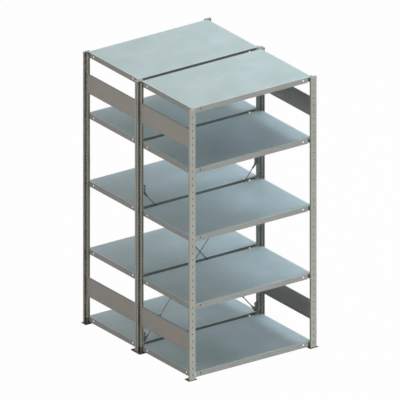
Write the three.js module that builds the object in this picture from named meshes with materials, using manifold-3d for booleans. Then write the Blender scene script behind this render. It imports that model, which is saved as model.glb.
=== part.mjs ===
// Double sided library shelving: two boltless shelving units stand back to back.
// Each unit has two end frames of perforated T posts joined by wide traverses,
// and sheet steel shelves that rest on clips. One pair of diagonal braces sits between the units.
// Millimetres, +Z up, X along the shelves, -Y towards the front aisle, origin on the floor at the centre.
import * as THREE from 'three';
import { mergeVertices } from 'three/addons/utils/BufferGeometryUtils.js';
import Module from 'manifold-3d';

// Overall layout
const postTop = 2000;
const bayPitch = 1008;
const unitDepth = 632;
const unitGap = 4;

// Post, a roll formed T section: a lipped flange to the aisle and a stem of two walls
const postSheet = 1.5;
const flangeWidth = 48;
const flangeLip = 16;
const stemDepth = 37;
const stemGap = 4.5;
const postHolePitch = 50;
const postHoleWidth = 4;
const postHoleHeight = 12;
const firstPostHole = 40;

// Foot plate with a tongue that is bolted to the stem
const footThickness = 5;
const footWidth = 69;
const footDepth = 53.5;
const footToe = 5;
const footPairGap = 0.5;
const footTongueThickness = 3;
const footTongueWidth = 22;
const footTongueHeight = 36;

// Shelf, a folded tray with returned lips
const shelfSheet = 1.25;
const shelfLip = 40;
const shelfReturn = 15;
const shelfEndClearance = 0.5;
const shelfSideClearance = 0.5;
const lipHoleDiameter = 9;
const frontHoleInset = 71;
const endHoleInset = 67;
const firstDeck = 50;
const deckPitch = 500;
const steppedDecks = 4;

// Shelf clip, an angle hooked to the stem
const clipSheet = 1.25;
const clipWidth = 18;
const clipHeight = 30;
const clipLedge = 15;
const clipEdge = 1;

// Traverse, a wide flat band with turned edges on the outer side of the stems
const traverseSheet = 1.25;
const traverseHeight = 144;
const traverseTurn = 5;
const traverseEndInset = 17;
const lowerTraverse = 200;
const upperTraverseDrop = 300;
const traverseStemGap = 1.5;
const rivetDiameter = 13;
const rivetHeight = 4;

// Diagonal brace: brackets held between the two units, rods with flat eyes, and turnbuckles
const bracketBack = 20;
const bracketLobes = 3;
const lobeRadius = 11.5;
const lowerBracket = 63;
const upperBracket = 1149;
const rodDiameter = 7;
const eyeDiameter = 23;
const eyeThickness = 4;
const eyeGap = 0.25;
const eyeFlangeGap = 5;
const tabLength = 45;
const tabHeight = 14;
const tabOverRod = 10;
const turnbuckleAt = 150;
const turnbuckleLength = 60;
const turnbuckleAcross = 12;
const threadGap = 0.3;
const rodEndGap = 12;
const boltDiameter = 8;
const boltClearance = 0.5;
const boltHeadAcross = 13;
const boltHeadHeight = 5.5;
const nutHeight = 6.5;

// Places that follow from the sizes above
const stemHalf = stemGap / 2 + postSheet;
const bayHalf = bayPitch / 2;
const aisleFace = unitGap / 2 + unitDepth;
const backFace = unitGap / 2;
const shelfHalfLength = bayHalf - stemHalf - clipSheet - shelfEndClearance;
const shelfDepth = unitDepth - 2 * (flangeLip + shelfSideClearance);
const shelfCentre = backFace + unitDepth / 2;
const upperTraverse = postTop - upperTraverseDrop;
const lobeCentre = flangeWidth / 2 + eyeFlangeGap + eyeDiameter / 2;
const deckTops = [];
for (let i = 0; i < steppedDecks; i++) {
  deckTops.push(firstDeck + i * deckPitch);
}
deckTops.push(postTop);

const roundSides = 8;
const hexSides = 6;

// Paint and zinc finishes
const finishes = {
  post: { color: 0x9b978e, roughness: 0.5, metalness: 0.3 },
  shelf: { color: 0xb6c6c6, roughness: 0.45, metalness: 0.35 },
  traverse: { color: 0x938d85, roughness: 0.5, metalness: 0.3 },
  foot: { color: 0x6f6c66, roughness: 0.55, metalness: 0.4 },
  brace: { color: 0x8a8f91, roughness: 0.4, metalness: 0.8 },
};

const wasm = await Module();
wasm.setup();

// A closed three.js geometry as a solid that can be joined and cut.
function toSolid(geometry) {
  const bare = geometry.clone();
  bare.deleteAttribute('normal');
  bare.deleteAttribute('uv');
  const merged = mergeVertices(bare, 1e-4);
  return new wasm.Manifold(
    new wasm.Mesh({
      numProp: 3,
      vertProperties: merged.attributes.position.array,
      triVerts: new Uint32Array(merged.index.array),
    }),
  );
}

// A solid as a three.js geometry with flat shaded faces.
function toGeometry(solid) {
  const { vertProperties, triVerts } = solid.getMesh();
  const indexed = new THREE.BufferGeometry();
  indexed.setAttribute('position', new THREE.BufferAttribute(vertProperties, 3));
  indexed.setIndex(new THREE.BufferAttribute(triVerts, 1));
  const flat = indexed.toNonIndexed();
  flat.computeVertexNormals();
  return flat;
}

// A box between two corners.
function block([x0, y0, z0], [x1, y1, z1]) {
  const box = new THREE.BoxGeometry(x1 - x0, y1 - y0, z1 - z0);
  box.translate((x0 + x1) / 2, (y0 + y1) / 2, (z0 + z1) / 2);
  return toSolid(box);
}

// A bar of round or hexagonal section along Y, from y0 to y1.
function barAlongY(radius, sides, y0, y1) {
  const bar = new THREE.CylinderGeometry(radius, radius, y1 - y0, sides);
  bar.translate(0, (y0 + y1) / 2, 0);
  return toSolid(bar);
}

// Circumscribed radius of a hexagon with a given size across its flats.
const hexRadius = (across) => across / Math.sqrt(3);

const group = new THREE.Group();

// Adds a geometry to the shelving as a named piece with its own finish.
function addPiece(name, solid, finish, place = {}) {
  const mesh = new THREE.Mesh(toGeometry(solid), new THREE.MeshStandardMaterial(finishes[finish]));
  mesh.name = name;
  mesh.position.set(place.x ?? 0, place.y ?? 0, place.z ?? 0);
  mesh.rotation.set(0, place.turnY ?? 0, place.turnZ ?? 0);
  group.add(mesh);
  return mesh;
}

// The T section. x is across the flange, y runs from the flange's outer face to the stem's tip.
function postSection() {
  const half = flangeWidth / 2;
  const slit = stemGap / 2;
  const section = new THREE.Shape();
  section.moveTo(-half, 0);
  section.lineTo(half, 0);
  section.lineTo(half, flangeLip);
  section.lineTo(half - postSheet, flangeLip);
  section.lineTo(half - postSheet, postSheet);
  section.lineTo(stemHalf, postSheet);
  section.lineTo(stemHalf, stemDepth);
  section.lineTo(slit, stemDepth);
  section.lineTo(slit, postSheet);
  section.lineTo(-slit, postSheet);
  section.lineTo(-slit, stemDepth);
  section.lineTo(-stemHalf, stemDepth);
  section.lineTo(-stemHalf, postSheet);
  section.lineTo(-half + postSheet, postSheet);
  section.lineTo(-half + postSheet, flangeLip);
  section.lineTo(-half, flangeLip);
  section.closePath();
  return section;
}

// An angle on the stem's bay side, whose ledge carries a shelf. side is +1 or -1 along x.
function clip(side, ledgeTop) {
  const y0 = stemDepth - clipEdge - clipWidth;
  const y1 = stemDepth - clipEdge;
  const face = side * stemHalf;
  const wall = side * (stemHalf + clipSheet);
  const tip = side * (stemHalf + clipSheet + clipLedge);
  const bottom = ledgeTop - clipSheet;
  const upright = block(
    [Math.min(face, wall), y0, bottom],
    [Math.max(face, wall), y1, bottom + clipHeight],
  );
  const ledge = block([Math.min(face, tip), y0, bottom], [Math.max(face, tip), y1, ledgeTop]);
  return upright.add(ledge);
}

// A post with the hole column in its flange and a clip for each shelf.
function post(clipSide) {
  const height = postTop - footThickness;
  const bar = new THREE.ExtrudeGeometry(postSection(), { depth: height, bevelEnabled: false });
  bar.translate(0, 0, footThickness);
  let solid = toSolid(bar);
  const holes = [];
  for (let z = firstPostHole; z < postTop - postHoleHeight; z += postHolePitch) {
    holes.push(
      block(
        [-postHoleWidth / 2, -postSheet, z - postHoleHeight / 2],
        [postHoleWidth / 2, postSheet, z + postHoleHeight / 2],
      ),
    );
  }
  solid = solid.subtract(wasm.Manifold.union(holes));
  const clips = deckTops.map((top) => clip(clipSide, top - shelfLip));
  return wasm.Manifold.union([solid, ...clips]);
}

// A foot plate under a post. toe is how far it stands out in front of the flange.
function foot(tongueSide, toe) {
  const plate = block([-footWidth / 2, -toe, 0], [footWidth / 2, footDepth - toe, footThickness]);
  const near = tongueSide * stemHalf;
  const far = tongueSide * (stemHalf + footTongueThickness);
  const tongue = block(
    [Math.min(near, far), stemDepth - footTongueWidth, 0],
    [Math.max(near, far), stemDepth, footThickness + footTongueHeight],
  );
  return plate.add(tongue);
}

// A tray: the folded blank, its hollow, the open underside and the holes in its lips.
function shelf() {
  const halfDepth = shelfDepth / 2;
  const inside = shelfHalfLength - shelfSheet;
  const insideDepth = halfDepth - shelfSheet;
  const window = shelfHalfLength - shelfReturn;
  const windowDepth = halfDepth - shelfReturn;
  const blank = block([-shelfHalfLength, -halfDepth, -shelfLip], [shelfHalfLength, halfDepth, 0]);
  const hollow = block(
    [-inside, -insideDepth, shelfSheet - shelfLip],
    [inside, insideDepth, -shelfSheet],
  );
  const underside = block([-window, -windowDepth, -2 * shelfLip], [window, windowDepth, -shelfSheet]);
  const lipHoles = [];
  for (const side of [-1, 1]) {
    const across = barAlongY(lipHoleDiameter / 2, hexSides, -shelfDepth, shelfDepth);
    lipHoles.push(across.translate([side * (shelfHalfLength - frontHoleInset), 0, -shelfLip / 2]));
    const along = barAlongY(lipHoleDiameter / 2, hexSides, -2 * shelfHalfLength, 2 * shelfHalfLength);
    lipHoles.push(
      along.rotate([0, 0, 90]).translate([0, side * (halfDepth - endHoleInset), -shelfLip / 2]),
    );
  }
  return blank.subtract(hollow).subtract(underside).subtract(wasm.Manifold.union(lipHoles));
}

// A traverse with its rivets. Its web stands on x = 0 and runs along y; side points out of the bay.
function traverse(side) {
  const halfSpan = unitDepth / 2 - traverseEndInset;
  const halfClear = unitDepth / 2 - stemDepth - traverseStemGap;
  const outer = side * traverseSheet;
  const web = block(
    [Math.min(0, outer), -halfSpan, 0],
    [Math.max(0, outer), halfSpan, traverseHeight],
  );
  const inner = -side * traverseTurn;
  const turn = (z0, z1) =>
    block([Math.min(outer, inner), -halfClear, z0], [Math.max(outer, inner), halfClear, z1]);
  const pieces = [
    web,
    turn(0, traverseSheet),
    turn(traverseHeight - traverseSheet, traverseHeight),
  ];
  const rivetAt = unitDepth / 2 - (traverseEndInset + stemDepth) / 2;
  for (const end of [-1, 1]) {
    const head = barAlongY(rivetDiameter / 2, roundSides, 0, rivetHeight).rotate([0, 0, -90 * side]);
    pieces.push(head.translate([0, end * rivetAt, traverseHeight / 2]));
  }
  return wasm.Manifold.union(pieces);
}

// A bracket plate with a row of round lobes on its bay side and a bolt hole in the lowest lobe.
function bracket() {
  const outline = new THREE.Shape();
  outline.moveTo(-bracketBack, 0);
  for (let i = 0; i < bracketLobes; i++) {
    const z = (2 * i + 1) * lobeRadius;
    outline.absarc(lobeCentre, z, lobeRadius, -Math.PI / 2, Math.PI / 2, false);
  }
  outline.lineTo(-bracketBack, 2 * bracketLobes * lobeRadius);
  outline.closePath();
  const plate = new THREE.ExtrudeGeometry(outline, {
    depth: unitGap,
    bevelEnabled: false,
    curveSegments: roundSides,
  });
  plate.rotateX(Math.PI / 2);
  plate.translate(0, unitGap / 2, 0);
  const bore = barAlongY(boltDiameter / 2 + boltClearance, roundSides, -unitGap, unitGap);
  return toSolid(plate).subtract(bore.translate([lobeCentre, 0, lobeRadius]));
}

// A rod with a flat eye at x = 0. It runs along +x to its plain end.
function eyeRod(length) {
  const halfEye = eyeThickness / 2;
  const eye = barAlongY(eyeDiameter / 2, 2 * roundSides, -halfEye, halfEye);
  const tab = block([0, -halfEye, -tabHeight / 2], [tabLength, halfEye, tabHeight / 2]);
  const bore = barAlongY(boltDiameter / 2 + boltClearance, roundSides, -eyeThickness, eyeThickness);
  const rod = barAlongY(rodDiameter / 2, roundSides, tabLength - tabOverRod, length);
  return eye.add(tab).subtract(bore).add(rod.rotate([0, 0, -90]));
}

// A hexagonal turnbuckle with a through bore, along x from 0 to its length.
function turnbuckle() {
  const body = barAlongY(hexRadius(turnbuckleAcross), hexSides, 0, turnbuckleLength);
  const boreRadius = (rodDiameter / 2 + threadGap) / Math.cos(Math.PI / roundSides);
  const bore = barAlongY(boreRadius, roundSides, -turnbuckleLength, 2 * turnbuckleLength);
  return body.subtract(bore).rotate([0, 0, -90]);
}

// A bolt with its nut, along y. The head's seat is at y = 0 and the nut's seat at the grip length.
function boltAndNut() {
  const grip = eyeThickness + eyeGap + unitGap;
  const head = barAlongY(hexRadius(boltHeadAcross), hexSides, -boltHeadHeight, 0);
  const shank = barAlongY(boltDiameter / 2, roundSides, -boltHeadHeight / 2, grip + nutHeight);
  const nut = barAlongY(hexRadius(boltHeadAcross), hexSides, grip, grip + nutHeight);
  return wasm.Manifold.union([head, shank, nut]);
}

// Two units, the front one on -Y and the rear one on +Y
for (const [unit, unitSide] of [['front', -1], ['rear', 1]]) {
  for (const [end, endSide] of [['left', -1], ['right', 1]]) {
    // outer posts face the aisle, inner posts stand back to back between the units
    for (const [row, flange, facing] of [['outer', aisleFace, unitSide], ['inner', backFace, -unitSide]]) {
      const turnZ = facing < 0 ? 0 : Math.PI;
      const baySide = endSide * facing;
      const place = { x: endSide * bayHalf, y: unitSide * flange, turnZ };
      addPiece(`${unit}_${end}_${row}_post`, post(baySide), 'post', place);
      const toe = row === 'outer' ? footToe : (unitGap - footPairGap) / 2;
      addPiece(`${unit}_${end}_${row}_foot`, foot(-baySide, toe), 'foot', place);
    }
    for (const [level, z] of [['lower', lowerTraverse], ['upper', upperTraverse]]) {
      addPiece(`${unit}_${end}_${level}_traverse`, traverse(endSide), 'traverse', {
        x: endSide * (bayHalf + stemHalf),
        y: unitSide * shelfCentre,
        z,
      });
    }
  }
  deckTops.forEach((z, i) => {
    addPiece(`${unit}_shelf_${i + 1}`, shelf(), 'shelf', { y: unitSide * shelfCentre, z });
  });
}

// The brace: a bracket in each corner, and two diagonals that pass on either side of the middle plane
const lobeX = bayHalf - lobeCentre;
const eyeRise = upperBracket - lowerBracket;
const diagonal = Math.hypot(2 * lobeX, eyeRise);
const slope = Math.atan2(eyeRise, 2 * lobeX);
const eyePlane = unitGap / 2 + eyeGap + eyeThickness / 2;
for (const [end, endSide] of [['left', -1], ['right', 1]]) {
  for (const [level, z] of [['lower', lowerBracket], ['upper', upperBracket]]) {
    const turnZ = endSide < 0 ? 0 : Math.PI;
    addPiece(`brace_${end}_${level}_bracket`, bracket(), 'brace', { x: endSide * bayHalf, z, turnZ });
    // the first diagonal rises from lower left to upper right on the front of the brackets
    const rodSide = (end === 'left') === (level === 'lower') ? -1 : 1;
    addPiece(`brace_${end}_${level}_bolt`, boltAndNut(), 'brace', {
      x: endSide * lobeX,
      y: rodSide * (eyePlane + eyeThickness / 2),
      z: z + lobeRadius,
      turnZ: rodSide < 0 ? 0 : Math.PI,
    });
  }
}
for (const [name, side] of [['front', -1], ['rear', 1]]) {
  // the front diagonal starts at the lower left bracket, the rear one at the lower right
  const rising = side < 0 ? -slope : slope - Math.PI;
  const lowerEye = new THREE.Vector3(side * lobeX, side * eyePlane, lowerBracket + lobeRadius);
  const along = new THREE.Vector3(-side * Math.cos(slope), 0, Math.sin(slope));
  const middle = turnbuckleAt + turnbuckleLength / 2;
  const lowerLength = middle - rodEndGap / 2;
  const upperLength = diagonal - middle - rodEndGap / 2;
  const at = (distance) => {
    const p = lowerEye.clone().addScaledVector(along, distance);
    return { x: p.x, y: p.y, z: p.z };
  };
  addPiece(`brace_${name}_lower_rod`, eyeRod(lowerLength), 'brace', { ...at(0), turnY: rising });
  addPiece(`brace_${name}_upper_rod`, eyeRod(upperLength), 'brace', {
    ...at(diagonal),
    turnY: rising + Math.PI,
  });
  addPiece(`brace_${name}_turnbuckle`, turnbuckle(), 'brace', {
    ...at(turnbuckleAt),
    turnY: rising,
  });
}

export default group;
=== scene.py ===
import math

import bpy
import numpy as np
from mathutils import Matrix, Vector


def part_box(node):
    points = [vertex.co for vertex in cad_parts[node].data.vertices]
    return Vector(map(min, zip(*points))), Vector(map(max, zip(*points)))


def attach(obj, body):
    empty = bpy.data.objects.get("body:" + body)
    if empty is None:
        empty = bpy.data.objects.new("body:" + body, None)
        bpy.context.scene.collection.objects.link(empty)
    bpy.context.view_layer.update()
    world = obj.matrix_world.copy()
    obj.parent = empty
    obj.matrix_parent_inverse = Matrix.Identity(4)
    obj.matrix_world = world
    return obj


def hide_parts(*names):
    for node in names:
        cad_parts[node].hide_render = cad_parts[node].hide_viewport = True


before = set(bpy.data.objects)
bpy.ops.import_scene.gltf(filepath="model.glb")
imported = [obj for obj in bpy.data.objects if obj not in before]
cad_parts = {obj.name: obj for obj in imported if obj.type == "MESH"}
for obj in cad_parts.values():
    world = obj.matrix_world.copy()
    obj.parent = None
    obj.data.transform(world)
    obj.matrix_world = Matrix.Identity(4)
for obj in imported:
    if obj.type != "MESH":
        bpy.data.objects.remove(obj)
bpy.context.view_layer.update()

# The view: the shelving is seen from the front left and a little above, with no perspective.
# The camera is a parallel one, turned and framed as the photograph is.
VIEW_TURN = math.radians(-35.06)
VIEW_RISE = math.radians(22.665)
FRAME_WIDTH = 2.7244
AIM_HEIGHT = 0.9959
AIM_SIDE = 0.0012
CAMERA_DISTANCE = 7.0
CAMERA_REACH = 60.0

view_right = np.array([math.cos(VIEW_TURN), math.sin(VIEW_TURN), 0.0])
view_back = np.array([
    math.sin(VIEW_TURN) * math.cos(VIEW_RISE),
    -math.cos(VIEW_TURN) * math.cos(VIEW_RISE),
    math.sin(VIEW_RISE),
])
view_up = np.cross(view_back, view_right)
camera_data = bpy.data.cameras.new("view_camera")
camera_data.type = "ORTHO"
camera_data.ortho_scale = FRAME_WIDTH
camera_data.clip_end = CAMERA_REACH
camera = bpy.data.objects.new("view_camera", camera_data)
bpy.context.scene.collection.objects.link(camera)
camera_place = np.eye(4)
camera_place[:3, 0] = view_right
camera_place[:3, 1] = view_up
camera_place[:3, 2] = view_back
aim = np.array([0.0, 0.0, AIM_HEIGHT]) + AIM_SIDE * view_right
camera_place[:3, 3] = aim + CAMERA_DISTANCE * view_back
camera.matrix_world = camera_place.T
bpy.context.scene.camera = camera
bpy.context.scene.view_settings.view_transform = "Standard"

# The studio: a pale floor and a sky that both read white, and six lamps. The small far lamps shine level,
# so that near posts and traverses shade the far ones. The broad high lamps light the decks, most of all at
# the right. Each lamp has a name, a place, a width, a power and a colour.
FLOOR_HALF = 9.0
FLOOR_WHITE = 0.5
FLOOR_GLOW = 0.985
SKY_LEVEL = 0.05
LAMP_AIM = np.array([0.0, 0.0, 0.9])
LAMPS = (
    ("front_lamp", (0.5, -25.0, 1.0), 1.2, 2900.0, (1.0, 1.0, 0.97)),
    ("right_lamp", (5.4, 0.4, 4.9), 5.4, 262.0, (0.72, 0.86, 1.0)),
    ("top_lamp", (0.6, 0.1, 6.0), 2.6, 50.0, (1.0, 1.0, 0.84)),
    ("left_lamp", (-25.0, -0.3, 1.0), 1.5, 540.0, (1.0, 0.95, 0.88)),
    ("left_high_lamp", (-6.2, -0.6, 3.6), 4.0, 84.0, (1.0, 0.97, 0.94)),
    ("rear_lamp", (0.5, 25.0, 1.0), 1.2, 1200.0, (1.0, 1.0, 0.97)),
)


def link_piece(name, data):
    """Puts a mesh into the scene as an object at the origin."""
    piece = bpy.data.objects.new(name, data)
    bpy.context.scene.collection.objects.link(piece)
    return piece


def new_material(name):
    """A material with an empty tree: returns it with its nodes, its links and its output."""
    material = bpy.data.materials.new(name)
    material.use_nodes = True
    nodes = material.node_tree.nodes
    nodes.clear()
    output = nodes.new("ShaderNodeOutputMaterial")
    return material, nodes, material.node_tree.links, output


floor_mesh = bpy.data.meshes.new("studio_floor")
floor_mesh.from_pydata(
    [(-FLOOR_HALF, -FLOOR_HALF, 0.0), (FLOOR_HALF, -FLOOR_HALF, 0.0),
     (FLOOR_HALF, FLOOR_HALF, 0.0), (-FLOOR_HALF, FLOOR_HALF, 0.0)],
    [], [(0, 1, 2, 3)])
floor = link_piece("studio_floor", floor_mesh)
floor_material, nodes, links, output = new_material("studio_floor_white")
matt = nodes.new("ShaderNodeBsdfDiffuse")
matt.inputs["Color"].default_value = (FLOOR_WHITE, FLOOR_WHITE, FLOOR_WHITE, 1.0)
glow = nodes.new("ShaderNodeEmission")
glow.inputs["Strength"].default_value = 1.0
rays = nodes.new("ShaderNodeLightPath")
share = nodes.new("ShaderNodeMath")
share.operation = "MULTIPLY"
share.inputs[1].default_value = FLOOR_GLOW
seen = nodes.new("ShaderNodeMath")
seen.operation = "MAXIMUM"
links.new(rays.outputs["Is Camera Ray"], seen.inputs[0])
links.new(rays.outputs["Is Glossy Ray"], seen.inputs[1])
links.new(seen.outputs[0], share.inputs[0])
blend = nodes.new("ShaderNodeMixShader")
links.new(share.outputs[0], blend.inputs["Fac"])
links.new(matt.outputs[0], blend.inputs[1])
links.new(glow.outputs[0], blend.inputs[2])
links.new(blend.outputs[0], output.inputs["Surface"])
floor_mesh.materials.append(floor_material)

world = bpy.data.worlds.new("studio_sky")
bpy.context.scene.world = world
world.use_nodes = True
sky_nodes = world.node_tree.nodes
sky_links = world.node_tree.links
sky_nodes.clear()
sky_output = sky_nodes.new("ShaderNodeOutputWorld")
sky = sky_nodes.new("ShaderNodeBackground")
sky.inputs["Color"].default_value = (1.0, 1.0, 1.0, 1.0)
sky_rays = sky_nodes.new("ShaderNodeLightPath")
sky_level = sky_nodes.new("ShaderNodeMix")
sky_level.data_type = "FLOAT"
sky_level.inputs[2].default_value = SKY_LEVEL
sky_level.inputs[3].default_value = 1.0
sky_seen = sky_nodes.new("ShaderNodeMath")
sky_seen.operation = "MAXIMUM"
sky_links.new(sky_rays.outputs["Is Camera Ray"], sky_seen.inputs[0])
sky_links.new(sky_rays.outputs["Is Glossy Ray"], sky_seen.inputs[1])
sky_links.new(sky_seen.outputs[0], sky_level.inputs[0])
sky_links.new(sky_level.outputs[0], sky.inputs["Strength"])
sky_links.new(sky.outputs[0], sky_output.inputs["Surface"])

for name, place, width, power, colour in LAMPS:
    lamp_data = bpy.data.lights.new(name, "AREA")
    lamp_data.shape = "DISK"
    lamp_data.size = width
    lamp_data.energy = power
    lamp_data.color = colour
    lamp = bpy.data.objects.new(name, lamp_data)
    bpy.context.scene.collection.objects.link(lamp)
    lamp_back = np.array(place) - LAMP_AIM
    lamp_back /= np.linalg.norm(lamp_back)
    lamp_right = np.cross([0.0, 0.0, 1.0], lamp_back)
    lamp_right /= np.linalg.norm(lamp_right)
    lamp_frame = np.eye(4)
    lamp_frame[:3, 0] = lamp_right
    lamp_frame[:3, 1] = np.cross(lamp_back, lamp_right)
    lamp_frame[:3, 2] = lamp_back
    lamp_frame[:3, 3] = place
    lamp.matrix_world = lamp_frame.T

# Foot plates: pressed steel plates with a tongue that is screwed to the stem of the post.
# They are painted a darker, duller grey than the posts and have lightly rounded edges.
FOOT_EDGE = 0.0008
FOOT_GREY = (0.20, 0.195, 0.18)
WELD_REACH = 0.00001
BEVEL_ANGLE = math.radians(35)
PAINT_MOTTLE = 0.05
PAINT_SHINE = 0.25
PAINT_CLOUD = 7.0
CLOUD_DETAIL = 4.0
CLOUD_RANGE = (0.3, 0.7)
PAINT_GRAIN = 900.0
GRAIN_DETAIL = 2.0
PAINT_DULLING = 0.06
GRAIN_DEPTH = 0.00004
GRAIN_STRENGTH = 0.5
# EDGE_SHADE sets how much the edge attribute changes the paint: painted shade above 0, painted highlight
# below 0.
EDGE_SHADE = 0.16
UNITS = (("front", -1), ("rear", 1))
ENDS = (("left", -1), ("right", 1))
ROWS = ("outer", "inner")
POSTS = [(unit, unit_side, end, end_side, row)
         for unit, unit_side in UNITS for end, end_side in ENDS for row in ROWS]


def paint_group():
    """Paint group: a colour that drifts a little, dull patches, painted edge shade and highlight, fine
    grain.
    """
    group = bpy.data.node_groups.new("sprayed_paint", "ShaderNodeTree")
    group.interface.new_socket("Paint", in_out="INPUT", socket_type="NodeSocketColor")
    group.interface.new_socket("Drift", in_out="INPUT", socket_type="NodeSocketFloat")
    group.interface.new_socket("Dullness", in_out="INPUT", socket_type="NodeSocketFloat")
    group.interface.new_socket("Color", in_out="OUTPUT", socket_type="NodeSocketColor")
    group.interface.new_socket("Roughness", in_out="OUTPUT", socket_type="NodeSocketFloat")
    group.interface.new_socket("Grain", in_out="OUTPUT", socket_type="NodeSocketFloat")
    g_nodes = group.nodes
    g_links = group.links
    start = g_nodes.new("NodeGroupInput")
    end = g_nodes.new("NodeGroupOutput")
    place = g_nodes.new("ShaderNodeTexCoord")
    cloud = g_nodes.new("ShaderNodeTexNoise")
    cloud.inputs["Scale"].default_value = PAINT_CLOUD
    cloud.inputs["Detail"].default_value = CLOUD_DETAIL
    grain = g_nodes.new("ShaderNodeTexNoise")
    grain.inputs["Scale"].default_value = PAINT_GRAIN
    grain.inputs["Detail"].default_value = GRAIN_DETAIL
    g_links.new(place.outputs["Object"], cloud.inputs["Vector"])
    g_links.new(place.outputs["Object"], grain.inputs["Vector"])
    spread = g_nodes.new("ShaderNodeMapRange")
    spread.inputs["From Min"].default_value = CLOUD_RANGE[0]
    spread.inputs["From Max"].default_value = CLOUD_RANGE[1]
    spread.inputs["To Min"].default_value = -1.0
    spread.inputs["To Max"].default_value = 1.0
    g_links.new(cloud.outputs["Fac"], spread.inputs["Value"])
    swing = g_nodes.new("ShaderNodeMath")
    swing.operation = "MULTIPLY_ADD"
    swing.inputs[2].default_value = 1.0
    g_links.new(spread.outputs["Result"], swing.inputs[0])
    g_links.new(start.outputs["Drift"], swing.inputs[1])
    # Painted light and shade: the edge attribute darkens the colour on bends and lightens it where it is
    # below 0.
    edge = g_nodes.new("ShaderNodeAttribute")
    edge.attribute_name = "edge"
    tint_and_edge_shading = g_nodes.new("ShaderNodeMath")
    tint_and_edge_shading.operation = "MULTIPLY_ADD"
    tint_and_edge_shading.inputs[1].default_value = -EDGE_SHADE
    g_links.new(edge.outputs["Fac"], tint_and_edge_shading.inputs[0])
    g_links.new(swing.outputs[0], tint_and_edge_shading.inputs[2])
    tint = g_nodes.new("ShaderNodeVectorMath")
    tint.operation = "SCALE"
    g_links.new(start.outputs["Paint"], tint.inputs[0])
    g_links.new(tint_and_edge_shading.outputs[0], tint.inputs["Scale"])
    g_links.new(tint.outputs["Vector"], end.inputs["Color"])
    dull = g_nodes.new("ShaderNodeMath")
    dull.operation = "MULTIPLY_ADD"
    dull.inputs[1].default_value = PAINT_DULLING
    g_links.new(spread.outputs["Result"], dull.inputs[0])
    g_links.new(start.outputs["Dullness"], dull.inputs[2])
    g_links.new(dull.outputs[0], end.inputs["Roughness"])
    g_links.new(grain.outputs["Fac"], end.inputs["Grain"])
    return group


sprayed_paint = paint_group()


def painted(name, colour, roughness, metallic=0.0):
    """A painted or plated material with its own colour, roughness and share of metal."""
    material, nodes, links, output = new_material(name)
    shader = nodes.new("ShaderNodeBsdfPrincipled")
    shader.inputs["Metallic"].default_value = metallic
    shader.inputs["Specular IOR Level"].default_value = PAINT_SHINE
    coat = nodes.new("ShaderNodeGroup")
    coat.node_tree = sprayed_paint
    coat.inputs["Paint"].default_value = (*colour, 1.0)
    coat.inputs["Drift"].default_value = PAINT_MOTTLE
    coat.inputs["Dullness"].default_value = roughness
    bump = nodes.new("ShaderNodeBump")
    bump.inputs["Distance"].default_value = GRAIN_DEPTH
    bump.inputs["Strength"].default_value = GRAIN_STRENGTH
    links.new(coat.outputs["Color"], shader.inputs["Base Color"])
    links.new(coat.outputs["Roughness"], shader.inputs["Roughness"])
    links.new(coat.outputs["Grain"], bump.inputs["Height"])
    links.new(bump.outputs["Normal"], shader.inputs["Normal"])
    links.new(shader.outputs[0], output.inputs["Surface"])
    return material


def finish_node(name, material, edge):
    """Gives a CAD node its material and softly rounded edges."""
    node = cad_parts[name]
    node.data.materials.clear()
    node.data.materials.append(material)
    weld = node.modifiers.new("join", "WELD")
    weld.merge_threshold = WELD_REACH
    round_edge = node.modifiers.new("edge", "BEVEL")
    round_edge.width = edge
    round_edge.segments = 2
    round_edge.limit_method = "ANGLE"
    round_edge.angle_limit = BEVEL_ANGLE


foot_paint = painted("foot_paint", FOOT_GREY, roughness=0.55)
for unit, unit_side, end, end_side, row in POSTS:
    finish_node(f"{unit}_{end}_{row}_foot", foot_paint, FOOT_EDGE)

# Posts: a T section rolled from one strip of steel. The lipped flange has slots at 50 mm pitch that
# open into the gap between the two walls of the stem. The walls have side slots at 25 mm pitch for clips.
POST_SHEET = 0.0015
POST_BEND = 0.0025
FLANGE_LIP = 0.016
STEM_GAP = 0.0045
STEM_DEPTH = 0.037
FLANGE_SLOT = (0.0065, 0.013)
FLANGE_SLOT_PITCH = 0.050
FLANGE_SLOT_FIRST = 0.040
WALL_SLOT = (0.0105, 0.0125)
WALL_SLOT_ROOT = 0.0005
WALL_SLOT_PITCH = 0.025
WALL_SLOT_FIRST = 0.0275
SLOT_CHAMFER = 0.25
WELD_GRID = 1e7
# ROOT_SHADE lies below 0, so the stem walls are painted lighter near the flange: painted light in the
# groove's shade.
ROOT_SHADE = -2.0
POST_GREY = (0.545, 0.55, 0.495)
# POST_DARK is a painted shade: near black paint on the faces inside the stem's gap, so the slots look dark.
POST_DARK = (0.05, 0.048, 0.045)


def bend_arc(centre, radius, start, stop, count=4):
    """Points of an arc: centre + radius * (cos a, sin a), a going from start to stop in degrees."""
    angle = np.radians(np.linspace(start, stop, count + 1))
    return np.column_stack([centre[0] + radius * np.cos(angle), centre[1] + radius * np.sin(angle)])


def slot_lines(centres, height, low, high, chamfer):
    """Sorted stations from low to high, with four of them on each opening: its ends and its chamfers."""
    half = height / 2
    inner = half - chamfer
    offsets = np.array([-half, -inner, inner, half])
    stations = (np.asarray(centres)[:, None] + offsets).ravel()
    stations = stations[(stations > low) & (stations < high)]
    return np.concatenate([[low], stations, [high]])


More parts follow.
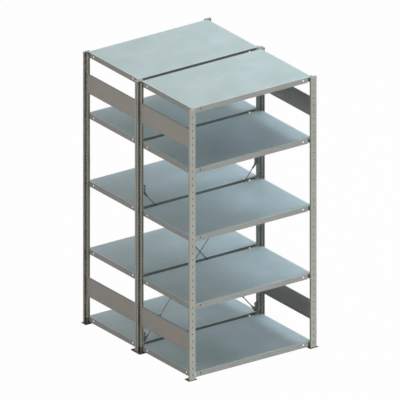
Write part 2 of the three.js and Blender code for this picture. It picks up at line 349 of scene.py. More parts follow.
def perforated_faces(column_at, row_at, openings):
    """Faces of a grid of rows and columns with chamfered openings left out.

    A cell goes where its middle lies in an opening's tall core or wide core. A corner cell keeps the
    triangle on its outer corner. openings holds (column centres, width, row centres, height, chamfer).
    """
    columns = len(column_at)
    rows = len(row_at)
    index = np.arange(rows * columns).reshape(rows, columns)
    quads = np.stack([index[:-1, :-1], index[:-1, 1:], index[1:, 1:], index[1:, :-1]], axis=-1)
    keep = np.ones((rows - 1, columns - 1), bool)
    triangles = []
    column_mid = (column_at[:-1] + column_at[1:]) / 2
    row_mid = (row_at[:-1] + row_at[1:]) / 2
    for column_centres, width, row_centres, height, chamfer in openings:
        off_u = column_mid[:, None] - np.asarray(column_centres)
        off_v = row_mid[:, None] - np.asarray(row_centres)
        across = off_u[np.arange(len(off_u)), np.abs(off_u).argmin(axis=1)]
        along = off_v[np.arange(len(off_v)), np.abs(off_v).argmin(axis=1)]
        in_width = (np.abs(across) < width / 2)[None, :]
        in_height = (np.abs(along) < height / 2)[:, None]
        core_width = (np.abs(across) < width / 2 - chamfer)[None, :]
        core_height = (np.abs(along) < height / 2 - chamfer)[:, None]
        inside = in_width & in_height
        keep &= ~inside
        corner = inside & ~core_width & ~core_height
        for right in (False, True):
            for top in (False, True):
                side = (across > 0 if right else across < 0)[None, :]
                level = (along > 0 if top else along < 0)[:, None]
                cells = quads[corner & side & level]
                outer = 2 * top + (right != top)
                picked = cells[:, [(outer - 1) % 4, outer, (outer + 1) % 4]]
                triangles.append(picked)
    return quads[keep], np.concatenate(triangles) if triangles else np.zeros((0, 3), int)


def sheet_mesh(name, parts, loop=None, edge=None, finishes=None):
    """Joins (points, quads, triangles) parts into one mesh, drops unused points and welds equal ones.

    loop holds the points of one more flat face, if there is one. edge holds a value for each point, which
    the materials read as painted shade on bends and cut edges, and as painted light where it is below 0.
    finishes holds a material number for each face.
    """
    points = np.concatenate([p for p, q, t in parts] + ([] if loop is None else [loop]))
    starts = np.cumsum([0] + [len(p) for p, q, t in parts[:-1]])
    quads = np.concatenate([q + s for (p, q, t), s in zip(parts, starts)])
    triangles = np.concatenate([t + s for (p, q, t), s in zip(parts, starts)])
    keys = np.round(points * WELD_GRID).astype(np.int64)
    first, back = np.unique(keys, axis=0, return_index=True, return_inverse=True)[1:]
    back = back.reshape(-1)
    quads = back[quads]
    triangles = back[triangles]
    loops = [] if loop is None else [back[-len(loop):]]
    used = np.unique(np.concatenate([quads.ravel(), triangles.ravel()]))
    renumber = np.zeros(len(first), int)
    renumber[used] = np.arange(len(used))
    mesh = bpy.data.meshes.new(name)
    faces = renumber[quads].tolist() + renumber[triangles].tolist() + [renumber[f].tolist() for f in loops]
    mesh.from_pydata(points[first][used].tolist(), [], faces)
    mesh.update()
    if edge is not None:
        shade = np.asarray(edge, np.float32)[first][used]
        mesh.attributes.new("edge", "FLOAT", "POINT").data.foreach_set("value", shade)
    if finishes is not None:
        mesh.polygons.foreach_set("material_index", finishes)
    return mesh


def give_thickness(piece, thickness, offset, inside=0):
    """Sheet thickness for a surface: offset -1 puts it behind the faces, and 0 on both sides of them.

    inside is added to a face's material number for the side behind it.
    """
    wall = piece.modifiers.new("sheet", "SOLIDIFY")
    wall.material_offset = inside
    wall.thickness = thickness
    wall.offset = offset
    wall.use_even_offset = True


def strip_points(path, row_at):
    """Carries a path of (u, v) points along z: point (i, j) is (u_j, v_j, z_i)."""
    columns = len(path)
    rows = len(row_at)
    points = np.zeros((rows, columns, 3))
    points[:, :, 0] = path[None, :, 0]
    points[:, :, 1] = path[None, :, 1]
    points[:, :, 2] = row_at[:, None]
    return points.reshape(-1, 3)


def post_parts(half_flange, low, high):
    """The flange with its lips, and the two walls of the stem, as perforated sheets in the post's own axes.

    Also returns a shade for each point, ROOT_SHADE where a wall leaves the flange and 0 past the slots,
    which paints the walls lighter where the groove lies in shade, and a material number for each face: 0
    has the near black painted shade of the stem's gap behind it, 2 has paint on both sides.
    """
    skin = POST_SHEET / 2
    lip = half_flange - skin
    bend = POST_BEND - skin
    slot_width, slot_height = FLANGE_SLOT
    chamfer = SLOT_CHAMFER * slot_width
    slot_half = slot_width / 2
    flange_columns = np.array([-slot_half, chamfer - slot_half, slot_half - chamfer, slot_half])
    left = bend_arc((bend - lip, skin + bend), bend, 180, 270)
    right = bend_arc((lip - bend, skin + bend), bend, 270, 360)
    flange = np.column_stack([flange_columns, np.full(4, skin)])
    path = np.concatenate([[(-lip, FLANGE_LIP)], left, flange, right, [(lip, FLANGE_LIP)]])
    centres = np.arange(FLANGE_SLOT_FIRST, high - slot_height, FLANGE_SLOT_PITCH)
    row_at = slot_lines(centres, slot_height, low, high, chamfer)
    run = np.concatenate([[0.0], np.cumsum(np.linalg.norm(np.diff(path, axis=0), axis=1))])
    faces = perforated_faces(run, row_at, [([run[-1] / 2], slot_width, centres, slot_height, chamfer)])
    parts = [(strip_points(path, row_at), *faces)]
    shades = [np.zeros(len(path) * len(row_at))]

    slot_width, slot_height = WALL_SLOT
    chamfer = SLOT_CHAMFER * slot_width
    slot_at = POST_SHEET + WALL_SLOT_ROOT + slot_width / 2
    depth_at = slot_lines([slot_at], slot_width, POST_SHEET, STEM_DEPTH, chamfer)
    centres = np.arange(WALL_SLOT_FIRST, high - slot_height, WALL_SLOT_PITCH)
    row_at = slot_lines(centres, slot_height, low, high, chamfer)
    faces = perforated_faces(depth_at, row_at, [([slot_at], slot_width, centres, slot_height, chamfer)])
    for side in (-1, 1):
        wall = np.column_stack([np.full(len(depth_at), side * (STEM_GAP / 2 + skin)), depth_at])
        outward = [f[:, ::side] for f in faces]
        parts.append((strip_points(wall, row_at), *outward))
        # Painted light on each wall, strongest at its root and gone past the slots.
        shades.append(np.tile(np.interp(depth_at, depth_at[[0, -2]], (ROOT_SHADE, 0.0)), len(row_at)))
    flange_points, flange_quads = parts[0][:2]
    lipped = np.abs(flange_points[flange_quads].mean(axis=1)[:, 0]) > FLANGE_SLOT[0] / 2
    hollow = sum(len(q) for p, q, t in parts[1:]) + sum(len(t) for p, q, t in parts)
    finishes = np.concatenate([np.where(lipped, 2, 0), np.zeros(hollow, int)]).astype(np.int32)
    return parts, np.concatenate(shades), finishes


def stand(parts, x, y, facing):
    """Places parts made in a post's own axes. facing is -1 where the flange looks to -Y, and +1 to +Y."""
    turn = np.array([-facing, -facing, 1.0])
    return [(p * turn + np.array([x, y, 0.0]), q, t) for p, q, t in parts]


def post_place(unit, unit_side, end, row):
    """A post's box, the middle of its stem, its flange's outer face and the way that the flange looks."""
    low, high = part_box(f"{unit}_{end}_{row}_post")
    facing = unit_side if row == "outer" else -unit_side
    flange_face = low.y if facing < 0 else high.y
    return low, high, (low.x + high.x) / 2, flange_face, facing


post_paint = painted("post_paint", POST_GREY, roughness=0.42)
# Painted shade for the back faces inside the stem's gap.
post_gap_shade = painted("post_gap_shade", POST_DARK, roughness=0.6)
for unit, unit_side, end, end_side, row in POSTS:
    node = f"{unit}_{end}_{row}_post"
    low, high, centre, flange_face, facing = post_place(unit, unit_side, end, row)
    parts, shades, finishes = post_parts((high.x - low.x) / 2, low.z, high.z)
    parts = stand(parts, centre, flange_face, facing)
    mesh = sheet_mesh(node, parts, edge=shades, finishes=finishes)
    piece = link_piece(f"{unit}_{end}_{row}_tpost", mesh)
    give_thickness(piece, POST_SHEET, 0.0, inside=1)
    for finish in (post_paint, post_gap_shade, post_paint):
        piece.data.materials.append(finish)
    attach(piece, "frame")
    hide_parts(node)

# Post caps: thin T shaped covers of pale plastic, pressed onto the open tops of the posts.
# Their skirts lie on the flange's face and sides, and they end a millimetre above the top shelf.
CAP_TOP = 0.001
CAP_SKIRT = 0.008
CAP_WALL = 0.0006
CAP_ROUND = 0.0012
CAP_TAPER = 0.00048
SHARP_ANGLE = math.radians(40)
CAP_GREY = (0.58, 0.60, 0.57)


def prism_shell(outline, levels, insets):
    """Carries an outline (u, v) up through levels, and shrinks it towards its own middle by insets.

    Returns the points, the quads and the number of points in a ring, as each of these shells does.
    """
    middle = (outline.max(axis=0) + outline.min(axis=0)) / 2
    half = (outline.max(axis=0) - outline.min(axis=0)) / 2
    rings = [np.column_stack([middle + (outline - middle) * (1 - i / half), np.full(len(outline), z)])
             for z, i in zip(levels, insets)]
    points = np.concatenate(rings)
    index = np.arange(len(points)).reshape(len(levels), len(outline))
    after = np.roll(index, -1, axis=1)
    quads = np.stack([index[:-1], after[:-1], after[1:], index[1:]], axis=-1).reshape(-1, 4)
    return points, quads, len(outline)


def solid_mesh(name, shells, smooth=True):
    """Closes shells, each (points, quads, points in a ring), with a face at both ends and joins them."""
    points = []
    faces = []
    start = 0
    for shell, quads, sides in shells:
        points.append(shell)
        faces += (quads + start).tolist()
        last = start + len(shell)
        faces.append(list(range(last - sides, last)))
        faces.append(list(range(start + sides - 1, start - 1, -1)))
        start = last
    mesh = bpy.data.meshes.new(name)
    mesh.from_pydata(np.concatenate(points).tolist(), [], faces)
    mesh.update()
    if smooth:
        mesh.polygons.foreach_set("use_smooth", np.ones(len(mesh.polygons), bool))
        mesh.set_sharp_from_angle(angle=SHARP_ANGLE)
    return mesh


cap_plastic = painted("cap_plastic", CAP_GREY, roughness=0.5)
for unit, unit_side, end, end_side, row in POSTS:
    low, high, centre, flange_face, facing = post_place(unit, unit_side, end, row)
    wide = (high.x - low.x) / 2 + CAP_WALL
    stem = STEM_GAP / 2 + POST_SHEET
    outline = np.array([
        (-wide, -CAP_WALL), (wide, -CAP_WALL), (wide, FLANGE_LIP), (stem, FLANGE_LIP),
        (stem, STEM_DEPTH), (-stem, STEM_DEPTH), (-stem, FLANGE_LIP), (-wide, FLANGE_LIP)])
    levels = high.z + np.array([-CAP_SKIRT, CAP_TOP - CAP_ROUND, CAP_TOP])
    points, quads, sides = prism_shell(outline, levels, (0.0, 0.0, CAP_TAPER))
    points = stand([(points, quads, None)], centre, flange_face, facing)[0][0]
    mesh = solid_mesh(f"{unit}_{end}_{row}_cap", [(points, quads, sides)], smooth=False)
    cap = link_piece(mesh.name, mesh)
    cap.data.materials.append(cap_plastic)
    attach(cap, "frame")

# Shelf clips: small angles of sheet steel, one under each corner of each shelf.
# The upright lies on the bay side of the stem with teeth in side slots, and the ledge carries the shelf.
CLIP_SHEET = 0.00125
CLIP_WIDTH = 0.018
CLIP_HEIGHT = 0.030
CLIP_LEDGE = 0.015
CLIP_EDGE = 0.001
CLIP_BEND = 0.0022
TOOTH_HEIGHT = 0.008
TOOTH_REACH = 0.3
SHELVES = range(1, 6)
CLIP_GREY = (0.36, 0.37, 0.37)


def plain_faces(rows, columns):
    """All the cells of a grid of rows and columns, with no opening."""
    index = np.arange(rows * columns).reshape(rows, columns)
    quads = np.stack([index[:-1, :-1], index[:-1, 1:], index[1:, 1:], index[1:, :-1]], axis=-1)
    return quads.reshape(-1, 4), np.zeros((0, 3), int)


def clip_parts(side, ledge_top, slot_centres):
    """An L shaped path from the upright's top to the ledge's tip, carried across the clip's width."""
    skin = CLIP_SHEET / 2
    wall = STEM_GAP / 2 + POST_SHEET
    face = wall + skin
    tip = wall + CLIP_SHEET + CLIP_LEDGE
    floor_z = ledge_top - skin
    top_z = ledge_top - CLIP_SHEET + CLIP_HEIGHT
    bend = CLIP_BEND - skin
    corner = bend_arc((face + bend, floor_z + bend), bend, 180, 270)
    path = np.concatenate([[(face, top_z)], corner, [(tip, floor_z)]])
    depth = np.array([STEM_DEPTH - CLIP_EDGE - CLIP_WIDTH, STEM_DEPTH - CLIP_EDGE])
    points = np.zeros((len(path), 2, 3))
    points[:, :, 0] = side * path[:, None, 0]
    points[:, :, 1] = depth[None, :]
    points[:, :, 2] = path[:, None, 1]
    parts = [(points.reshape(-1, 3), *plain_faces(len(path), 2))]
    slot_near = POST_SHEET + WALL_SLOT_ROOT + WALL_SLOT[0] * TOOTH_REACH
    half = TOOTH_HEIGHT / 2
    held = slot_centres[(slot_centres > ledge_top + TOOTH_HEIGHT) & (slot_centres < top_z - half)]
    for z in held:
        tooth = np.array([
            (side * face, slot_near, z - half), (side * face, depth[0], z - half),
            (side * face, slot_near, z + half), (side * face, depth[0], z + half)])
        parts.append((tooth, *plain_faces(2, 2)))
    return parts


clip_zinc = painted("clip_zinc", CLIP_GREY, roughness=0.36, metallic=0.55)
for unit, unit_side, end, end_side, row in POSTS:
    low, high, centre, flange_face, facing = post_place(unit, unit_side, end, row)
    slots = np.arange(WALL_SLOT_FIRST, high.z, WALL_SLOT_PITCH)
    parts = []
    for level in SHELVES:
        ledge_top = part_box(f"{unit}_shelf_{level}")[0].z
        parts += clip_parts(end_side * facing, ledge_top, slots)
    mesh = sheet_mesh(f"{unit}_{end}_{row}_clips", stand(parts, centre, flange_face, facing))
    piece = link_piece(mesh.name, mesh)
    give_thickness(piece, CLIP_SHEET, 0.0)
    piece.data.materials.append(clip_zinc)
    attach(piece, "frame")

# Traverses: wide bands of sheet steel that tie the two posts of an end frame together.
# Their long edges are turned inwards for stiffness, and a domed rivet holds each end to a stem.
TRAVERSE_SHEET = 0.00125
TRAVERSE_BEND = 0.003
TRAVERSE_TURN = 0.005
TRAVERSE_LINE = 0.009
RIVET_RADIUS = 0.0065
RIVET_HEIGHT = 0.004
RIVET_SKIRT = 0.001
RIVET_DOME = 82
RIVET_END_INSET = 0.010
TURN_END_INSET = 0.022
NEAR_UPRIGHT = 0.9
TRAVERSE_GREY = (0.495, 0.467, 0.43)


def folded_strip(profile, along, outward, origin):
    """Carries a folded profile along a straight edge.

    Point (i, j) is origin + outward * reach_i + tangent * along_ij + up * height_i, and the tangent is
    outward x up, so faces point outwards when the profile runs from the top down.
    """
    outward = np.asarray(outward, float)
    tangent = np.cross(outward, [0.0, 0.0, 1.0])
    along = np.broadcast_to(along, (len(profile), np.shape(along)[-1]))
    points = np.asarray(origin, float) + outward * profile[:, None, :1] + tangent * along[:, :, None]
    points = points + np.array([0.0, 0.0, 1.0]) * profile[:, None, 1:2]
    return points.reshape(-1, 3)


def lathe(profile, axis, origin, sides=20):
    """Turns (radius, height) points about an axis through origin."""
    axis = np.asarray(axis, float) / np.linalg.norm(axis)
    helper = np.array([0.0, 0.0, 1.0]) if abs(axis[2]) < NEAR_UPRIGHT else np.array([1.0, 0.0, 0.0])
    first = np.cross(helper, axis)
    first /= np.linalg.norm(first)
    second = np.cross(axis, first)
    angle = np.linspace(0, 2 * np.pi, sides, endpoint=False)
    ring = np.cos(angle)[:, None] * first + np.sin(angle)[:, None] * second
    profile = np.asarray(profile, float)
    points = np.asarray(origin, float) + profile[:, None, :1] * ring[None] + profile[:, None, 1:] * axis
    index = np.arange(len(profile) * sides).reshape(len(profile), sides)
    after = np.roll(index, -1, axis=1)
    quads = np.stack([index[:-1], after[:-1], after[1:], index[1:]], axis=-1).reshape(-1, 4)
    return points.reshape(-1, 3), quads, sides


def rivet_shell(axis, origin):
    """A rivet head: a short skirt under a dome, radius R * cos a and height H * sin a."""
    angle = np.radians(np.linspace(0, RIVET_DOME, 7))
    rise = RIVET_SKIRT + (RIVET_HEIGHT - RIVET_SKIRT) * np.sin(angle)
    dome = np.column_stack([RIVET_RADIUS * np.cos(angle), rise])
    return lathe(np.concatenate([[(RIVET_RADIUS, 0.0)], dome]), axis, origin)


traverse_paint = painted("traverse_paint", TRAVERSE_GREY, roughness=0.42)
for unit, unit_side in UNITS:
    for end, end_side in ENDS:
        for level in ("lower", "upper"):
            node = f"{unit}_{end}_{level}_traverse"
            low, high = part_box(node)
            rivet_top = high.x if end_side > 0 else low.x
            stem_face = rivet_top - end_side * RIVET_HEIGHT
            middle = (low.y + high.y) / 2
            half_span = (high.y - low.y) / 2
            shelf_low, shelf_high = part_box(f"{unit}_shelf_1")
            half_clear = (shelf_high.y - shelf_low.y) / 2 - TURN_END_INSET
            height = high.z - low.z
            outer = TRAVERSE_SHEET
            top_bend = bend_arc((outer - TRAVERSE_BEND, height - TRAVERSE_BEND), TRAVERSE_BEND, 90, 0)
            foot_bend = bend_arc((outer - TRAVERSE_BEND, TRAVERSE_BEND), TRAVERSE_BEND, 0, -90)
            web = np.array([(outer, height - TRAVERSE_LINE), (outer, TRAVERSE_LINE)])
            tips = np.array([(-TRAVERSE_TURN, height), (-TRAVERSE_TURN, 0.0)])
            profile = np.concatenate([tips[:1], top_bend, web, foot_bend, tips[1:]])
            # Painted shade: the turned edges and bends get edge value 1 and are painted darker than the
            # flat web.
            shade = np.ones(len(profile))
            shade[len(top_bend) + 1:len(top_bend) + 3] = 0.0
            along = np.array([-half_span, -half_clear, half_clear, half_span])
            points = folded_strip(profile, along, (end_side, 0.0, 0.0), (stem_face, middle, low.z))
            quads, triangles = plain_faces(len(profile), len(along))
            cells = quads.reshape(len(profile) - 1, len(along) - 1, 4)
            turned = np.ones((len(profile) - 1, len(along) - 1), bool)
            turned[0, [0, -1]] = False
            turned[-1, [0, -1]] = False
            mesh = sheet_mesh(node, [(points, cells[turned], triangles)], edge=np.repeat(shade, len(along)))
            piece = link_piece(f"{node}_band", mesh)
            give_thickness(piece, TRAVERSE_SHEET, -1.0)
            piece.data.materials.append(traverse_paint)
            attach(piece, "frame")
            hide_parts(node)
            rivet_at = half_span - RIVET_END_INSET
            rivet_x = stem_face + end_side * TRAVERSE_SHEET / 2
            rivet_z = low.z + height / 2
            shells = [rivet_shell((end_side, 0.0, 0.0), (rivet_x, middle + side * rivet_at, rivet_z))
                      for side in (-1, 1)]
            heads = link_piece(f"{node}_rivets", solid_mesh(f"{node}_rivets", shells))
            heads.data.materials.append(clip_zinc)
            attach(heads, "frame")

# Diagonal brace: plates between the inner posts, and two crossed rods with flat eyes and turnbuckles.
# All of it is zinc plated steel; the rods pass each other on either side of the middle plane.
ROD_RADIUS = 0.0035
EYE_RADIUS = 0.0115
EYE_HALF = 0.002
TAB_HALF = 0.007
TAB_END = 0.036
ROD_START = 0.050
ROD_GAP_HALF = 0.006
EYE_ARC = (4, 128)
EYE_POWER = 8.0
ROD_POWER = 2.0
TURNBUCKLE_ACROSS = 0.012
TURNBUCKLE_HALF = 0.030
TURNBUCKLE_CHAMFER = 0.0012
BOLT_ACROSS = 0.013
BOLT_CHAMFER = 0.0007
BOLT_RADIUS = 0.004
SHANK_RIM = 0.0004
SHANK_IN_HEAD = 0.001
HEAD_HEIGHT = 0.0055
NUT_HEIGHT = 0.0065
HEX_SLOPE = 0.6
PLATE_EDGE = 0.0005
ZINC_GREY = (0.12, 0.125, 0.13)

brace_zinc = painted("brace_zinc", ZINC_GREY, roughness=0.4, metallic=0.4)
BRACE_CORNERS = [(end, level) for end, end_side in ENDS for level in ("lower", "upper")]
for end, level in BRACE_CORNERS:
    finish_node(f"brace_{end}_{level}_bracket", brace_zinc, PLATE_EDGE)


def node_middle(name):
    """Middle of a CAD node's box."""
    low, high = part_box(name)
    return (np.array(low) + np.array(high)) / 2


def loft(stations, half_width, half_thick, power, start, along, across, sides=24):
    """Sections along a line, each |u / a|^p + |v / b|^p = 1.

    Point (i, j) is start + along * s_i + across * a_i * c_j + normal * b_i * d_j, where c and d are the
    cosine and sine of the turn, raised to 2 / p_i with their signs kept.
    """
    normal = np.cross(along, across)
    turn = np.linspace(0, 2 * np.pi, sides, endpoint=False)
    shape = 2.0 / power[:, None]
    wide = np.sign(np.cos(turn)) * np.abs(np.cos(turn)) ** shape
    thick = np.sign(np.sin(turn)) * np.abs(np.sin(turn)) ** shape
    points = start + stations[:, None, None] * along
    points = points + (half_width[:, None] * wide)[:, :, None] * across
    points = points + (half_thick[:, None] * thick)[:, :, None] * normal
    index = np.arange(len(stations) * sides).reshape(len(stations), sides)
    after = np.roll(index, -1, axis=1)
    quads = np.stack([index[:-1], after[:-1], after[1:], index[1:]], axis=-1).reshape(-1, 4)
    return points.reshape(-1, 3), quads, sides


def rod_shell(eye, along, length):
    """A round rod whose end is hammered flat into a round eye.

    The eye is an arc of EYE_RADIUS and the tab behind it keeps TAB_HALF. Width, thickness and the power of
    the section then go in a straight line to those of the rod.
    """
    curve = np.radians(np.linspace(*EYE_ARC, 14))
    eye_at = -EYE_RADIUS * np.cos(curve)
    eye_wide = EYE_RADIUS * np.sin(curve)
    blend_at = np.linspace(TAB_END, ROD_START, 6)
    mix = (blend_at - TAB_END) / (ROD_START - TAB_END)
    stations = np.concatenate([eye_at, blend_at, [length]])
    eye_wide = np.maximum(eye_wide, TAB_HALF * (eye_at > 0))
    wide = np.concatenate([eye_wide, TAB_HALF + (ROD_RADIUS - TAB_HALF) * mix, [ROD_RADIUS]])
    eye_thick = np.full(len(curve), EYE_HALF)
    thick = np.concatenate([eye_thick, EYE_HALF + (ROD_RADIUS - EYE_HALF) * mix, [ROD_RADIUS]])
    eye_power = np.full(len(curve), EYE_POWER)
    power = np.concatenate([eye_power, EYE_POWER + (ROD_POWER - EYE_POWER) * mix, [ROD_POWER]])
    across = np.cross([0.0, 1.0, 0.0], along)
    return loft(stations, wide, thick, power, eye, along, across)


def hex_shell(across_flats, low, high, chamfer, axis, origin):
    """A hexagonal bar with turned, slightly conical ends."""
    radius = across_flats / math.sqrt(3)
    tip = radius - chamfer
    slope = chamfer * HEX_SLOPE
    profile = [(tip, low), (radius, low + slope), (radius, high - slope), (tip, high)]
    return lathe(profile, axis, origin, sides=6)


def shank_shell(radius, low, high, axis, origin):
    """A plain round shank with a fine chamfer at both ends."""
    tip = radius - SHANK_RIM
    profile = [(tip, low), (radius, low + SHANK_RIM), (radius, high - SHANK_RIM), (tip, high)]
    return lathe(profile, axis, origin)


for name, near, far in (("front", "left", "right"), ("rear", "right", "left")):
    lower = node_middle(f"brace_{near}_lower_bolt")
    upper = node_middle(f"brace_{far}_upper_bolt")
    plane = node_middle(f"brace_{name}_upper_rod")[1]
    lower[1] = plane
    upper[1] = plane
    reach = np.linalg.norm(upper - lower)
    along = (upper - lower) / reach
    buckle = node_middle(f"brace_{name}_turnbuckle")
    buckle_at = (buckle - lower) @ along
    for level, eye, direction, length in (
            ("lower", lower, along, buckle_at - ROD_GAP_HALF),
            ("upper", upper, -along, reach - buckle_at - ROD_GAP_HALF)):
        node = f"brace_{name}_{level}_rod"
        rod = link_piece(f"{node}_drawn", solid_mesh(node, [rod_shell(eye, direction, length)]))
        rod.data.materials.append(brace_zinc)
        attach(rod, "frame")
        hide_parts(node)
    node = f"brace_{name}_turnbuckle"
    shell = hex_shell(
        TURNBUCKLE_ACROSS, -TURNBUCKLE_HALF, TURNBUCKLE_HALF, TURNBUCKLE_CHAMFER, along, buckle)
    body = link_piece(f"{node}_hex", solid_mesh(node, [shell], smooth=False))
    body.data.materials.append(brace_zinc)
    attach(body, "frame")
    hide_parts(node)

for end, level in BRACE_CORNERS:
    node = f"brace_{end}_{level}_bolt"
    low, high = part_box(node)
    centre = node_middle(node)
    rod_side = -1 if (end == "left") == (level == "lower") else 1
    head_end = low.y if rod_side < 0 else high.y
    origin = np.array([centre[0], head_end - rod_side * HEAD_HEIGHT, centre[2]])
    axis = np.array([0.0, rod_side, 0.0])
    tip = HEAD_HEIGHT - (high.y - low.y)
    shells = [
        hex_shell(BOLT_ACROSS, 0.0, HEAD_HEIGHT, BOLT_CHAMFER, axis, origin),
        hex_shell(BOLT_ACROSS, tip, tip + NUT_HEIGHT, BOLT_CHAMFER, axis, origin),
        shank_shell(BOLT_RADIUS, tip, SHANK_IN_HEAD, axis, origin),
    ]
    bolt = link_piece(f"{node}_set", solid_mesh(node, shells, smooth=False))
    bolt.data.materials.append(brace_zinc)
    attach(bolt, "frame")
    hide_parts(node)

# Shelves: trays folded from zinc coated sheet, loose on their clips. The lips are folded down and returned
# inwards at the bottom, with two round holes each. The long lips stop short of the corners and have a hem.
SHELF_SHEET = 0.00125
SHELF_BEND = 0.003
SHELF_LIP = 0.040
SHELF_RETURN = 0.015
SHELF_RIM = 0.014
SHELF_LINE = 0.009
LONG_SHADE = 0.3
LIP_HOLE = 0.0115
LIP_HOLE_DROP = 0.0175
HEM_HEIGHT = 0.020
# HEM_SHADE is a painted shade: it darkens the hem, so the view through a lip hole onto it reads dark.
HEM_SHADE = 5.0
LIP_NOTCH = 0.032
FRONT_HOLE_INSET = 0.071
END_HOLE_INSET = 0.067
# Painted reflection: the deck is bluer than the lips of the same sheet, for the sky's cool sheen on its top
# face.
DECK_BLUE = (0.645, 0.735, 0.765)
DECK_GREEN = (0.625, 0.735, 0.735)
LIP_GREY = (0.43, 0.43, 0.405)
DECK_METAL = 0.2
SHELF_SHINE = 0.2
LIP_METAL = 0.1
CRYSTAL_SCALE = 70.0
PATCH_SCALE = 5.0
PATCH_DETAIL = 5.0
PATCH_RANGE = (0.36, 0.64)
TINT_FLOOR = 0.85
TINT_CRYSTAL = 0.05
TINT_PATCH = 0.24
ROUGH_FLOOR = 0.50
ROUGH_CRYSTAL = 0.12
CRYSTAL_DEPTH = 0.00005
CRYSTAL_STRENGTH = 0.4


def tray_sides(half_x, half_y, top):
    """Four folded strips that meet in mitred corners, the loop round the flat deck, and edge shades.

    The long strips lose their lips within LIP_NOTCH of the corners, and are turned up once more into a hem
    between their two holes. Shades are -1 on the deck's rim, a painted highlight, 1 on the bends of a lip,
    a painted shade, 0 between them, and HEM_SHADE on the hem, a painted shade that darkens it. weight
    scales the shades of a strip.
    """
    depth = SHELF_LIP
    top_bend = bend_arc((-SHELF_BEND, -SHELF_BEND), SHELF_BEND, 90, 0)
    hole_half = LIP_HOLE / 2
    chamfer = SLOT_CHAMFER * LIP_HOLE
    hole_core = hole_half - chamfer
    hole_rows = np.array([hole_half, hole_core, -hole_core, -hole_half]) - LIP_HOLE_DROP
    lip_at = np.concatenate([[-SHELF_LINE], hole_rows, [SHELF_LINE - depth]])
    lip_rows = np.column_stack([np.zeros(len(lip_at)), lip_at])
    foot_bend = bend_arc((-SHELF_BEND, SHELF_BEND - depth), SHELF_BEND, 0, -90)
    tip = (-SHELF_RETURN, -depth)
    profile = np.concatenate([[(-SHELF_RIM, 0.0)], top_bend, lip_rows, foot_bend, [tip]])
    bends = len(top_bend)
    shade = np.zeros(len(profile))
    # Painted highlight on the deck's rim bend, and painted shade on the bends of the lip.
    shade[1:bends] = -1.0
    shade[bends] = 1.0
    shade[bends + 1 + len(lip_at):] = 1.0
    run = np.concatenate([[0.0], np.cumsum(np.linalg.norm(np.diff(profile, axis=0), axis=1))])
    hole_run = run[bends + 2] + hole_half
    parts = []
    rim = []
    shades = []
    for outward, half_long, half_out, inset, weight in (
            ((0, -1, 0), half_x, half_y, FRONT_HOLE_INSET, LONG_SHADE),
            ((-1, 0, 0), half_y, half_x, END_HOLE_INSET, 1.0),
            ((0, 1, 0), half_x, half_y, FRONT_HOLE_INSET, LONG_SHADE),
            ((1, 0, 0), half_y, half_x, END_HOLE_INSET, 1.0)):
        centres = np.array([inset - half_long, half_long - inset])
        along = slot_lines(centres, LIP_HOLE, -half_long, half_long, chamfer)
        is_long = outward[1] != 0
        if is_long:
            along = np.sort(np.append(along, [LIP_NOTCH - half_long, half_long - LIP_NOTCH]))
        mitre = along[None, :].repeat(len(profile), axis=0)
        mitre[:, 0] -= profile[:, 0]
        mitre[:, -1] += profile[:, 0]
        origin = np.array([0.0, 0.0, top]) + half_out * np.asarray(outward)
        points = folded_strip(profile, mitre, outward, origin)
        holes = [(centres, LIP_HOLE, [hole_run], LIP_HOLE, chamfer)]
        quads, triangles = perforated_faces(along, run, holes)
        rim.append(points.reshape(len(profile), len(along), 3)[0, :-1])
        shades.append(np.repeat(shade * weight, len(along)))
        if is_long:
            row, column = np.divmod(quads[:, 0], len(along))
            quads = quads[(row < bends) | ((column > 0) & (column < len(along) - 2))]
            hem = np.array([tip, (-SHELF_RETURN, HEM_HEIGHT - depth)])
            middle = len(along) // 2
            between = along[middle - 1:middle + 1]
            parts.append((folded_strip(hem, between, outward, origin), *plain_faces(2, 2)))
            # Painted shade on the hem.
            shades.insert(-1, np.full(4, HEM_SHADE))
        parts.append((points, quads, triangles))
    rim = np.concatenate(rim)[::-1]
    return parts, rim, np.concatenate(shades + [np.zeros(len(rim))])


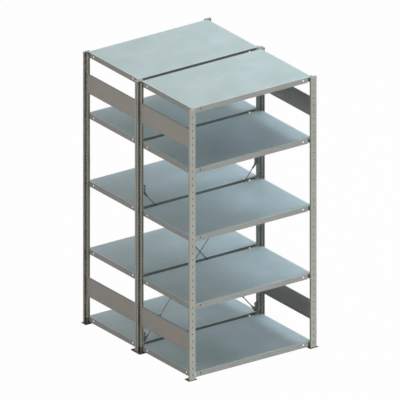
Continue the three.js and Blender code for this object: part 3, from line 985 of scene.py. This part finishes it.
def zinc_sheet(name):
    """Zinc sheet: soft crystals, patches of two tints, a warmer grey on the lips and a painted sky sheen on
    the deck.
    """
    material, nodes, links, output = new_material(name)
    shader = nodes.new("ShaderNodeBsdfPrincipled")
    shader.inputs["Specular IOR Level"].default_value = SHELF_SHINE
    place = nodes.new("ShaderNodeTexCoord")
    crystal = nodes.new("ShaderNodeTexVoronoi")
    crystal.inputs["Scale"].default_value = CRYSTAL_SCALE
    crystal.inputs["Randomness"].default_value = 1.0
    links.new(place.outputs["Object"], crystal.inputs["Vector"])
    patch = nodes.new("ShaderNodeTexNoise")
    patch.inputs["Scale"].default_value = PATCH_SCALE
    patch.inputs["Detail"].default_value = PATCH_DETAIL
    links.new(place.outputs["Object"], patch.inputs["Vector"])
    # The deck attribute picks the deck's painted cool sheen over the lips' warmer grey.
    deck = nodes.new("ShaderNodeAttribute")
    deck.attribute_name = "deck"
    base = nodes.new("ShaderNodeMix")
    base.data_type = "RGBA"
    base.inputs[6].default_value = (*LIP_GREY, 1.0)
    links.new(deck.outputs["Fac"], base.inputs[0])
    bloom = nodes.new("ShaderNodeMapRange")
    bloom.inputs["From Min"].default_value = PATCH_RANGE[0]
    bloom.inputs["From Max"].default_value = PATCH_RANGE[1]
    links.new(patch.outputs["Fac"], bloom.inputs["Value"])
    hue = nodes.new("ShaderNodeMix")
    hue.data_type = "RGBA"
    hue.inputs[6].default_value = (*DECK_GREEN, 1.0)
    hue.inputs[7].default_value = (*DECK_BLUE, 1.0)
    links.new(bloom.outputs["Result"], hue.inputs[0])
    links.new(hue.outputs[2], base.inputs[7])
    sheen = nodes.new("ShaderNodeMath")
    sheen.operation = "MULTIPLY_ADD"
    sheen.inputs[1].default_value = DECK_METAL - LIP_METAL
    sheen.inputs[2].default_value = LIP_METAL
    links.new(deck.outputs["Fac"], sheen.inputs[0])
    links.new(sheen.outputs[0], shader.inputs["Metallic"])
    grey = nodes.new("ShaderNodeSeparateColor")
    links.new(crystal.outputs["Color"], grey.inputs["Color"])
    flake = nodes.new("ShaderNodeMath")
    flake.operation = "MULTIPLY_ADD"
    flake.inputs[1].default_value = TINT_CRYSTAL
    flake.inputs[2].default_value = TINT_FLOOR
    links.new(grey.outputs[0], flake.inputs[0])
    cloud = nodes.new("ShaderNodeMath")
    cloud.operation = "MULTIPLY_ADD"
    cloud.inputs[1].default_value = TINT_PATCH
    links.new(patch.outputs["Fac"], cloud.inputs[0])
    links.new(flake.outputs[0], cloud.inputs[2])
    # Painted light and shade from the edge attribute, as in the paint group.
    edge = nodes.new("ShaderNodeAttribute")
    edge.attribute_name = "edge"
    tint_and_edge_shading = nodes.new("ShaderNodeMath")
    tint_and_edge_shading.operation = "MULTIPLY_ADD"
    tint_and_edge_shading.inputs[1].default_value = -EDGE_SHADE
    links.new(edge.outputs["Fac"], tint_and_edge_shading.inputs[0])
    links.new(cloud.outputs[0], tint_and_edge_shading.inputs[2])
    tint = nodes.new("ShaderNodeVectorMath")
    tint.operation = "SCALE"
    links.new(base.outputs[2], tint.inputs[0])
    links.new(tint_and_edge_shading.outputs[0], tint.inputs["Scale"])
    links.new(tint.outputs["Vector"], shader.inputs["Base Color"])
    rough = nodes.new("ShaderNodeMath")
    rough.operation = "MULTIPLY_ADD"
    rough.inputs[1].default_value = ROUGH_CRYSTAL
    rough.inputs[2].default_value = ROUGH_FLOOR
    links.new(grey.outputs[0], rough.inputs[0])
    links.new(rough.outputs[0], shader.inputs["Roughness"])
    bump = nodes.new("ShaderNodeBump")
    bump.inputs["Distance"].default_value = CRYSTAL_DEPTH
    bump.inputs["Strength"].default_value = CRYSTAL_STRENGTH
    links.new(crystal.outputs["Distance"], bump.inputs["Height"])
    links.new(bump.outputs["Normal"], shader.inputs["Normal"])
    links.new(shader.outputs[0], output.inputs["Surface"])
    return material


shelf_zinc = zinc_sheet("shelf_zinc")
for unit, unit_side in UNITS:
    for level in SHELVES:
        node = f"{unit}_shelf_{level}"
        low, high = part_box(node)
        middle = np.array([(low.x + high.x) / 2, (low.y + high.y) / 2, 0.0])
        parts, rim, shades = tray_sides((high.x - low.x) / 2, (high.y - low.y) / 2, high.z)
        parts = [(p + middle, q, t) for p, q, t in parts]
        mesh = sheet_mesh(node, parts, loop=rim + middle, edge=shades)
        places = np.zeros(len(mesh.vertices) * 3)
        mesh.vertices.foreach_get("co", places)
        on_deck = (places.reshape(-1, 3)[:, 2] > high.z - SHELF_BEND / 2).astype(np.float32)
        mesh.attributes.new("deck", "FLOAT", "POINT").data.foreach_set("value", on_deck)
        piece = link_piece(f"{node}_tray", mesh)
        give_thickness(piece, SHELF_SHEET, -1.0)
        piece.data.materials.append(shelf_zinc)
        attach(piece, node)
        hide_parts(node)
